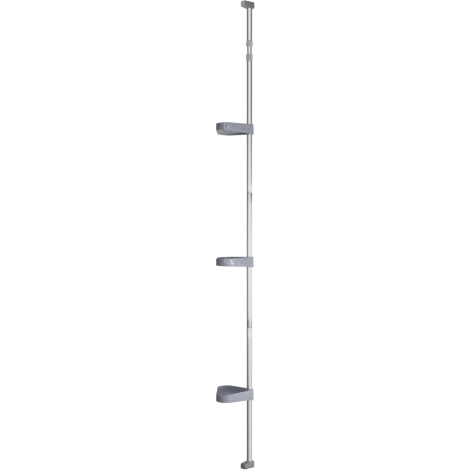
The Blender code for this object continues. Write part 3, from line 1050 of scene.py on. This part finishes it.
@dataclass
class EndFitting:
    """The moulded foot with its rubber pad, and the same two turned over for the ceiling."""

    ahead: float = 42 * MM
    behind: float = 20 * MM
    width: float = 32 * MM
    corner_r: float = 7 * MM
    corner_steps: int = 10
    height: float = 27 * MM
    low_height: float = 21 * MM
    flat_ahead: float = 9 * MM
    wall: float = 2.4 * MM
    edge_r: float = 2 * MM
    edge_steps: int = 5
    turn: float = radians(-94)
    pad_thickness: float = 2.4 * MM
    pad_inset: float = 0.8 * MM
    gap: float = 0.3 * MM
    socket_floor: float = 6 * MM
    socket_r: float = 12.8 * MM
    boss_r: float = 15.1 * MM
    tread_pitch: float = 5 * MM
    tread_width: float = 1.6 * MM
    tread_depth: float = 0.8 * MM

    def outline_block(self, name: str, inset: float, low: float, high: float) -> Workpiece:
        """A block on the fitting's plan, with its upright corners rounded.

        Args:
            name: The block's name.
            inset: How far it is inside the plan.
            low: Its low face.
            high: Its high face.

        Returns:
            The block.
        """
        half = self.width / 2 - inset
        corner = Vector((-self.behind + inset, -half, low)), Vector((self.ahead - inset, half, high))
        block = Workpiece.block(name, *corner)
        block.round_edges(
            self.corner_r - inset,
            self.corner_steps,
            lambda e: abs(e.verts[0].co.z - e.verts[1].co.z) > (high - low) / 2,
        )
        return block

    def shell(self) -> Workpiece:
        """The hollow moulding with its socket for the tube."""
        low = self.pad_thickness + self.gap
        shell = self.outline_block("end_shell", 0, low, self.height)
        fall, run = self.height - self.low_height, self.ahead - self.flat_ahead
        shell.slice_off(Vector((self.flat_ahead, 0, self.height)), Vector((fall, 0, run)))
        shell.round_edges(
            self.edge_r,
            self.edge_steps,
            lambda e: e.calc_face_angle(0) > CORNER
            and min(v.co.z for v in e.verts) > self.low_height - 1 * MM,
        )
        shell.sink(False, self.wall, self.low_height - self.wall - 0.6 * MM)
        shell.round_edges(
            0.5 * MM,
            2,
            lambda e: e.calc_face_angle(0) > CORNER
            and max(v.co.z for v in e.verts) < low + 0.01 * MM,
        )
        boss_top = self.height - 1.2 * MM
        boss_profile = [(self.boss_r, low), (self.boss_r, boss_top)]
        boss = Workpiece.turned("end_boss", boss_profile, ROUND_SIDES, ring=False)
        shell.combine(boss, Solid.JOIN)
        mouth = 0.6 * MM
        bore_profile = [
            (self.socket_r, self.socket_floor),
            (self.socket_r, self.height - mouth),
            (self.socket_r + mouth / 3, self.height - mouth / 3),
            (self.socket_r + mouth, self.height + 0.02 * MM),
            (self.socket_r + mouth, self.height + 5 * MM),
        ]
        bore = Workpiece.turned("end_bore", bore_profile, ROUND_SIDES, ring=False)
        shell.combine(bore, Solid.CUT)
        return shell

    def pad(self) -> Workpiece:
        """The rubber pad, with a tread of grooves across its resting face."""
        pad = self.outline_block("end_pad", self.pad_inset, 0, self.pad_thickness)
        pad.round_edges(0.4 * MM, 3, lambda e: e.calc_face_angle(0) > 1)
        count = int((self.ahead + self.behind) / self.tread_pitch)
        grooves = []
        for i in range(1, count):
            x = -self.behind + i * self.tread_pitch
            reach = self.width / 2 - self.pad_inset - 3.5 * MM
            low = Vector((x - self.tread_width / 2, -reach, -1 * MM))
            high = Vector((x + self.tread_width / 2, reach, self.tread_depth))
            grooves.append(Workpiece.block(f"tread_{i}", low, high))
        grooves[0].absorb(grooves[1:])
        pad.combine(grooves[0], Solid.CUT)
        return pad

    def build(self, finishes: Finishes) -> None:
        """Builds the foot and its pad, then turns copies over for the ceiling."""
        spin = Matrix.Rotation(self.turn, 4, "Z")
        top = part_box("ceiling_pad")[1].z
        over = Matrix.Translation((0, 0, top)) @ Matrix.Diagonal((1, 1, -1, 1))
        parts = (
            (self.shell(), "foot_shell", "cap_shell", finishes.end, Slot.END, "moulding"),
            (self.pad(), "foot_pad", "ceiling_pad", finishes.rubber, Slot.RUBBER, "tread"),
        )
        for piece, low_node, high_node, material, slot, word in parts:
            piece.move(spin)
            upper = piece.copy("cap_" + word)
            upper.move(over)
            piece.obj.name = piece.obj.data.name = "foot_" + word
            piece.finish(material, slot, Body.POLE.value, [low_node])
            upper.finish(material, slot, Body.TOP.value, [high_node])


# ---------------------------------------------------------------- baskets


def diagonal(along: float, across: float) -> Vector:
    """The plan point at a distance along the basket's centre line, and across it."""
    half_root = 0.5**0.5
    return Vector((-(along - across) * half_root, -(along + across) * half_root, 0))


@dataclass
class CornerBasket:
    """One basket: a three-sided tray with a hub for the pole, and the split wedge inside it."""

    hub_half: float = 23 * MM
    hub_top_r: float = 18.4 * MM
    hub_low_r: float = 19.6 * MM
    hub_edge: float = 1.1 * MM
    bore_top_r: float = 14.2 * MM
    bore_low_r: float = 15.2 * MM
    side_offset: float = 17 * MM
    front_distance: float = 147.3 * MM
    corner_r: float = 38 * MM
    corner_sides: int = 144
    overlap: float = 8 * MM  # how far the uncut block passes its highest and lowest edges
    wall: float = 3 * MM
    low_edge_at_pole: float = -21.2 * MM
    low_edge_slope: float = 0.058
    rim_at_pole: float = 22.5 * MM
    rim_slope: float = 0.036
    floor_top: float = -9.3 * MM
    floor_thickness: float = 3 * MM
    rim_round: float = 1.25 * MM
    floor_round: float = 2.6 * MM
    low_edge_round: float = 0.9 * MM
    slot_round: float = 0.45 * MM
    slot_r: float = 2 * MM
    slot_sides: int = 24
    slot_length: float = 12 * MM
    slot_pitch: float = 24 * MM
    slot_rows: tuple[tuple[float, int], ...] = ((52 * MM, 3), (84 * MM, 5), (116 * MM, 8))
    wedge_half: float = 21 * MM
    wedge_inner_r: float = 12.8 * MM
    wedge_split: float = 1 * MM
    gap: float = 0.3 * MM

    def corner_centres(self) -> list[Vector]:
        """The plan centres of the two front corners' roundings."""
        side = self.side_offset - self.corner_r
        far = -(2**0.5) * (self.front_distance - self.corner_r) - side
        return [Vector((side, far, 0)), Vector((far, side, 0))]

    def rim_height(self, point: Vector) -> float:
        """How high the rim's sloping plane is above the hub's middle, at a plan point."""
        return self.rim_at_pole - self.rim_slope * point.dot(diagonal(1, 0))

    def low_edge_height(self, point: Vector) -> float:
        """How high the walls' low edge is above the hub's middle, at a plan point."""
        return self.low_edge_at_pole + self.low_edge_slope * point.dot(diagonal(1, 0))

    def block(self) -> Workpiece:
        """The tray's outer solid: three upright rods in one tight skin, cut to the edges' slopes."""
        low, top = self.low_edge_at_pole - self.overlap, self.rim_at_pole + self.overlap
        hub = Workpiece.rod("basket", Vector(), self.side_offset, low, top, ROUND_SIDES)
        rods = [
            Workpiece.rod(f"corner_{i}", centre, self.corner_r, low, top, self.corner_sides)
            for i, centre in enumerate(self.corner_centres())
        ]
        hub.absorb(rods)
        hub.wrap()
        away = diagonal(1, 0)
        normal = Vector((away.x * self.rim_slope, away.y * self.rim_slope, 1)).normalized()
        hub.slice_off(Vector((0, 0, self.rim_at_pole)), normal)
        normal = Vector((away.x * self.low_edge_slope, away.y * self.low_edge_slope, -1)).normalized()
        hub.slice_off(Vector((0, 0, self.low_edge_at_pole)), normal)
        return hub

    def tray(self) -> Workpiece:
        """The hollow tray with its walls, its floor and the open skirt under the floor."""
        tray = self.block()
        tray.edit()
        tray.pick(Element.FACE, lambda f: f.normal.z > FACES_UP)
        bpy.ops.mesh.inset(thickness=self.wall)
        bpy.ops.mesh.extrude_region_move(TRANSFORM_OT_translate={"value": (0, 0, -20 * MM)})
        bpy.ops.transform.resize(value=(1, 1, 0), center_override=(0, 0, self.floor_top))
        tray.pick(Element.FACE, lambda f: f.normal.z < -FACES_UP)
        bpy.ops.mesh.inset(thickness=self.wall)
        bpy.ops.mesh.extrude_region_move(TRANSFORM_OT_translate={"value": (0, 0, 4 * MM)})
        underside = self.floor_top - self.floor_thickness
        bpy.ops.transform.resize(value=(1, 1, 0), center_override=(0, 0, underside))
        tray.face_outwards()
        roundings = (
            (self.rim_round, 4, self.rim_height),
            (self.floor_round, 5, lambda point: self.floor_top),
            (self.low_edge_round, 3, self.low_edge_height),
        )
        for width, steps, height in roundings:
            tray.round_edges(width, steps, self.corner_at(height))
        return tray

    def corner_at(self, height: Callable) -> Callable:
        """A test for the sharp edges that lie in one plane.

        Args:
            height: Gives the plane's height at a plan point.

        Returns:
            The test, for round_edges.
        """
        return lambda e: e.calc_face_angle(0) > CORNER and all(
            abs(v.co.z - height(v.co)) < SAME_LEVEL for v in e.verts
        )

    def slot_centres(self) -> list[Vector]:
        """The plan centre of every drain slot, row by row."""
        return [
            diagonal(along, (i - (count - 1) / 2) * self.slot_pitch)
            for along, count in self.slot_rows
            for i in range(count)
        ]

    def slots(self) -> Workpiece:
        """Every drain slot's cutter in one mesh: two rods in one skin, repeated in rows."""
        across = diagonal(0, 1)
        reach = self.slot_length / 2 - self.slot_r
        low = self.floor_top - 2 * self.floor_thickness
        high = self.floor_top + self.floor_thickness
        ends = [
            Workpiece.rod(name, across * side * reach, self.slot_r, low, high, self.slot_sides)
            for name, side in (("slots", 1), ("slot_end", -1))
        ]
        ends[0].absorb(ends[1:])
        ends[0].wrap()
        copies = []
        for i, centre in enumerate(self.slot_centres()):
            cutter = ends[0].copy(f"slot_{i}")
            cutter.move(Matrix.Translation(centre))
            copies.append(cutter)
        bpy.data.objects.remove(ends[0].obj)
        copies[0].absorb(copies[1:])
        return copies[0]

    def hub(self) -> Workpiece:
        """The hub's outer cone, with rounded ends."""
        half, edge = self.hub_half, self.hub_edge
        lean = (self.hub_low_r - self.hub_top_r) / (2 * half)
        low_r, top_r = self.hub_low_r - lean * edge, self.hub_top_r + lean * edge
        profile = arc((low_r - edge, -half + edge), edge, -90, 0, 4)
        profile += [(low_r + (top_r - low_r) * i / 4, (half - edge) * (i / 2 - 1)) for i in range(1, 4)]
        profile += arc((top_r - edge, half - edge), edge, 0, 90, 4)
        return Workpiece.turned("hub", profile, ROUND_SIDES, ring=False)

    def bore(self) -> Workpiece:
        """The hub's tapered hole, with eased mouths."""
        half, ease = self.hub_half, 0.5 * MM
        profile = [
            (self.bore_low_r + 4 * ease, -half - 2 * ease),
            (self.bore_low_r + ease, -half),
            (self.bore_low_r, -half + ease),
            (self.bore_top_r, half - ease),
            (self.bore_top_r + ease, half),
            (self.bore_top_r + 4 * ease, half + 2 * ease),
        ]
        return Workpiece.turned("bore", profile, ROUND_SIDES, ring=False)

    def basket(self) -> Workpiece:
        """The whole moulding about the hub's middle."""
        basket = self.tray()
        basket.combine(self.slots(), Solid.CUT)
        faces = (self.floor_top, self.floor_top - self.floor_thickness)
        basket.round_edges(
            self.slot_round,
            2,
            lambda e: e.calc_face_angle(0) > 1.2
            and any(all(abs(v.co.z - z) < 0.02 * MM for v in e.verts) for z in faces)
            and e.calc_length() < 40 * MM
            and self._on_slot(e),
        )
        basket.combine(self.hub(), Solid.JOIN)
        basket.combine(self.bore(), Solid.CUT)
        return basket

    def _on_slot(self, edge: bmesh.types.BMEdge) -> bool:
        """True if an edge is on a drain slot's outline."""
        middle = (edge.verts[0].co + edge.verts[1].co) / 2
        reach = self.slot_length / 2 + 0.1 * MM
        return any((middle.xy - centre.xy).length < reach for centre in self.slot_centres())

    def wedges(self) -> list[Workpiece]:
        """The two halves of the split taper, front half first."""
        half = self.wedge_half
        lean = (self.bore_low_r - self.bore_top_r) / (2 * self.hub_half) * half
        middle = (self.bore_top_r + self.bore_low_r) / 2 - self.gap
        ease = 0.25 * MM
        profile = [
            (middle + lean - ease, -half),
            (middle + lean, -half + ease),
            (middle, 0),
            (middle - lean, half - ease),
            (middle - lean - ease, half),
            (self.wedge_inner_r + ease, half),
            (self.wedge_inner_r, half - ease),
            (self.wedge_inner_r, -half + ease),
            (self.wedge_inner_r + ease, -half),
        ]
        halves = []
        for name, turn in (("front", -pi / 4), ("back", 3 * pi / 4)):
            ring = Workpiece.turned("wedge_" + name, profile, ROUND_SIDES)
            reach = 30 * MM
            low = Vector((-reach, -self.wedge_split / 2, -reach))
            high = Vector((reach, reach, reach))
            ring.combine(Workpiece.block("wedge_cut", low, high), Solid.CUT)
            ring.move(Matrix.Rotation(turn, 4, "Z"))
            halves.append(ring)
        return halves


@dataclass
class BasketSet:
    """The three baskets, modelled once and copied up the pole."""

    numbers: tuple[int, ...] = (1, 2, 3)

    def build(self, finishes: Finishes) -> None:
        """Builds the baskets and their wedges at the heights of the frame's own."""
        pattern = CornerBasket()
        tray = pattern.basket()
        front, back = pattern.wedges()
        for number in self.numbers:
            low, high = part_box(f"basket_{number}")
            raised = Matrix.Translation((0, 0, (low.z + high.z) / 2))
            copy = tray.copy(f"shelf_basket_{number}")
            copy.move(raised)
            copy.finish(finishes.basket, Slot.BASKET, f"shelf_{number}", [f"basket_{number}"])
            for half, word in ((front, "front"), (back, "back")):
                wedge = half.copy(f"grip_wedge_{word}_{number}")
                wedge.move(raised)
                wedge.finish(finishes.nylon, Slot.NYLON, f"grip_{number}", [f"wedge_{word}_{number}"])
        for piece in (tray, front, back):
            bpy.data.objects.remove(piece.obj)


# ---------------------------------------------------------------- hidden parts


HIDDEN_NYLON = ("lock_collet", "guide_plug", "spring_seat", "sleeve_bush", "spring_cap")


def dress_hidden(nodes: dict[str, bpy.types.Object], finishes: Finishes) -> None:
    """Gives the CAD nodes that stay inside the tubes their finish.

    Args:
        nodes: The frame's nodes by name.
        finishes: The materials.
    """
    for name in HIDDEN_NYLON:
        for place in nodes[name].material_slots:
            place.material = finishes.nylon
        log.info("%s: CAD node kept, dressed in nylon", name)


# ---------------------------------------------------------------- studio


@dataclass(frozen=True)
class SoftBox:
    """A rectangular light that faces the middle of the pole."""

    name: str
    bearing: float  # degrees round from the camera, to its right
    distance: float
    height: float
    width: float
    tall: float
    power: float
    aim: float = 1.0
    mirrored: bool = True
    only: tuple[str, ...] = ()


@dataclass
class Studio:
    """Floor, backdrop light, lamps and camera."""

    camera_bearing: float = -44.0  # degrees from +X, where the camera stands
    camera_distance: float = 3.735
    camera_aside: float = 0.065
    camera_height: float = 1.089
    camera_shift: float = -0.0213
    lens: float = 63.6
    floor_r: float = 9.0
    boxes: tuple[SoftBox, ...] = (
        SoftBox("key_box", 66, 1.5, 0.42, 0.8, 0.8, 17, 0.5, False),
        SoftBox("cap_box", -60, 0.9, 2.0, 0.3, 0.3, 6.5, 2.05, False, ("cap_",)),
        SoftBox(
            "collar_box", -20, 0.9, 1.9, 0.4, 0.3, 2.5, 1.88, False, ("lock_twist", "top_sleeve_collar")
        ),
        SoftBox("foot_box", -80, 0.9, 0.15, 0.3, 0.2, 0.5, 0.02, False, ("foot_",)),
        SoftBox("front_strip", -1, 2.5, 1.35, 0.25, 1.5, 9, 1.2, only=("shelf_basket",)),
        SoftBox("side_strip", 44, 2.5, 1.25, 0.25, 1.5, 9, 1.2, only=("shelf_basket",)),
        SoftBox("far_strip", 82.5, 2.5, 0.85, 0.12, 0.6, 2.4, 0.9, only=("shelf_basket",)),
    )
    bearings: tuple[float, ...] = (0, 42, 93, 135, 180, 225, 262, 318, 360)
    high_band: tuple[float, ...] = (1.45, 0.55, 0.1, 0.12, 0.4, 0.12, 0.06, 0.5, 1.45)
    middle_band: tuple[float, ...] = (1.7, 1.8, 0.85, 0.75, 0.45, 0.1, 0.02, 0.95, 1.7)
    low_band: tuple[float, ...] = (0.8, 0.95, 0.6, 0.35, 0.35, 0.1, 0.04, 0.36, 0.8)
    soft_band: tuple[float, ...] = (0.12, 0.33, 0.4, 0.3, 0.2, 0.1, 0.03, 0.02, 0.12)
    overhead: float = 0.7
    underneath: float = 0.5
    # where one band passes into the next, by the upward part of the direction
    middle_to_high: Range = (-0.03, 0.13)
    low_to_middle: Range = (-0.21, -0.08)
    high_to_overhead: Range = (0.28, 0.8)
    underneath_to_low: Range = (-0.8, -0.35)
    backdrop_white: float = 1.1
    floor_glow: float = 0.6

    def direction(self, bearing: float) -> Vector:
        """The level direction at a bearing from the camera, to its right."""
        angle = radians(self.camera_bearing + bearing)
        return Vector((cos(angle), sin(angle), 0))

    def build_floor(self) -> None:
        """A pale round floor that fades into the backdrop."""
        deselect_all()
        bpy.ops.mesh.primitive_circle_add(
            vertices=128, radius=self.floor_r, fill_type="NGON", location=(0, 0, 0)
        )
        floor = bpy.context.object
        floor.name = "studio_floor"
        material, graph, shader, place = new_material("studio_floor_white")
        tone = graph.spread(graph.noise(place, 1.5), (0.3, 0.7), (0.9, 0.94))
        colour = graph.add("CombineColor", Red=tone, Green=tone, Blue=tone)
        graph.feed(
            shader,
            Base_Color=colour.outputs[0],
            Roughness=0.6,
            Specular_IOR_Level=0.2,
            Emission_Color=(1, 1, 1, 1),
            Emission_Strength=self.floor_glow,
        )
        floor.data.materials.append(material)
        floor.visible_diffuse = floor.visible_glossy = floor.visible_shadow = False
        floor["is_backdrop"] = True

    def band(
        self, graph: Graph, share: bpy.types.NodeSocket, levels: Sequence[float]
    ) -> bpy.types.NodeSocket:
        """Soft light and dark round the horizon at one height.

        Args:
            graph: The backdrop's nodes.
            share: How far round from the camera, from 0 to 1.
            levels: The brightness at each of the bearings.

        Returns:
            The band's colour.
        """
        ramp = graph.add("ValToRGB", Fac=share)
        ramp.color_ramp.interpolation = "B_SPLINE"
        stops = ramp.color_ramp.elements
        stops.remove(stops[-1])
        for place, (bearing, level) in enumerate(zip(self.bearings, levels)):
            stop = stops[0] if place == 0 else stops.new(bearing / 360)
            stop.position = bearing / 360
            stop.color = (level, level, level, 1)
        return ramp.outputs[0]

    def build_backdrop(self) -> None:
        """White where it is seen, and soft light and dark bands where it is mirrored."""
        world = bpy.data.worlds.new("studio")
        world.use_nodes = True
        bpy.context.scene.world = world
        graph = Graph(world.node_tree)
        graph.tree.nodes.clear()
        ray = graph.add("TexCoord").outputs["Generated"]
        parts = graph.add("SeparateXYZ", Vector=ray)
        angle = graph.math("ARCTAN2", parts.outputs[1], parts.outputs[0])
        turns = graph.math("MULTIPLY_ADD", angle, 1 / (2 * pi), 1 - self.camera_bearing / 360)
        share = graph.math("FRACT", turns)
        rise = parts.outputs[2]
        high, middle, low, soft = (
            self.band(graph, share, levels)
            for levels in (self.high_band, self.middle_band, self.low_band, self.soft_band)
        )
        path = graph.add("LightPath").outputs
        upper = graph.mixed(graph.spread(rise, self.middle_to_high), middle, high)
        sharp = graph.mixed(graph.spread(rise, self.low_to_middle), low, upper)
        sides = graph.mixed(path["Is Glossy Ray"], soft, sharp)
        over, under = ((level, level, level, 1) for level in (self.overhead, self.underneath))
        topped = graph.mixed(graph.spread(rise, self.high_to_overhead), sides, over)
        lifted = graph.mixed(graph.spread(rise, self.underneath_to_low), under, topped)
        mirrored = graph.add("Background", Color=lifted, Strength=1.0).outputs[0]
        seen = graph.add("Background", Color=(1, 1, 1, 1), Strength=self.backdrop_white).outputs[0]
        mix = graph.add("MixShader", i0=path["Is Camera Ray"], i1=mirrored, i2=seen)
        graph.feed(graph.add("OutputWorld"), Surface=mix.outputs[0])

    def build_boxes(self) -> None:
        """The soft boxes round the pole, some of which light a few pieces alone."""
        for box in self.boxes:
            light = bpy.data.lights.new(box.name, "AREA")
            light.shape = "RECTANGLE"
            light.size, light.size_y = box.width, box.tall
            light.energy = box.power
            lamp = bpy.data.objects.new(box.name, light)
            lamp.location = self.direction(box.bearing) * box.distance + Vector((0, 0, box.height))
            aim = Vector((0, 0, box.aim)) - lamp.location
            lamp.rotation_euler = aim.to_track_quat("-Z", "Y").to_euler()
            lamp.visible_camera = False
            lamp.visible_glossy = box.mirrored
            bpy.context.scene.collection.objects.link(lamp)
            if box.only:
                lit = bpy.data.collections.new(box.name + "_lit")
                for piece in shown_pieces():
                    if piece.name.startswith(box.only):
                        lit.objects.link(piece)
                lamp.light_linking.receiver_collection = lit

    def build_camera(self) -> None:
        """The camera at eye height, a little to the pole's left."""
        camera = bpy.data.cameras.new("view")
        camera.lens = self.lens
        camera.sensor_width = 36
        camera.shift_y = self.camera_shift
        camera.clip_start, camera.clip_end = 0.05, 100
        obj = bpy.data.objects.new("view", camera)
        out = self.direction(0) * self.camera_distance
        aside = self.direction(90) * -self.camera_aside
        obj.location = out + aside + Vector((0, 0, self.camera_height))
        obj.rotation_euler = (pi / 2, 0, radians(self.camera_bearing + 90))
        bpy.context.scene.collection.objects.link(obj)
        bpy.context.scene.camera = obj

    def build(self) -> None:
        """Sets up the whole studio."""
        bpy.context.scene.view_settings.view_transform = "Standard"
        self.build_floor()
        self.build_backdrop()
        self.build_boxes()
        self.build_camera()


def main() -> None:
    """Loads the frame, builds every piece round it and sets up the studio."""
    logging.basicConfig(level=logging.INFO, format="%(name)s: %(message)s")
    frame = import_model()
    deselect_all()
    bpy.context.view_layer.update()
    finishes = Finishes()
    for assembly in (Pole(), TelescopeTop(), EndFitting(), BasketSet()):
        log.info("building %s", type(assembly).__name__)
        assembly.build(finishes)
    dress_hidden(frame["nodes"], finishes)
    Studio().build()


if __name__ == "__main__":
    main()
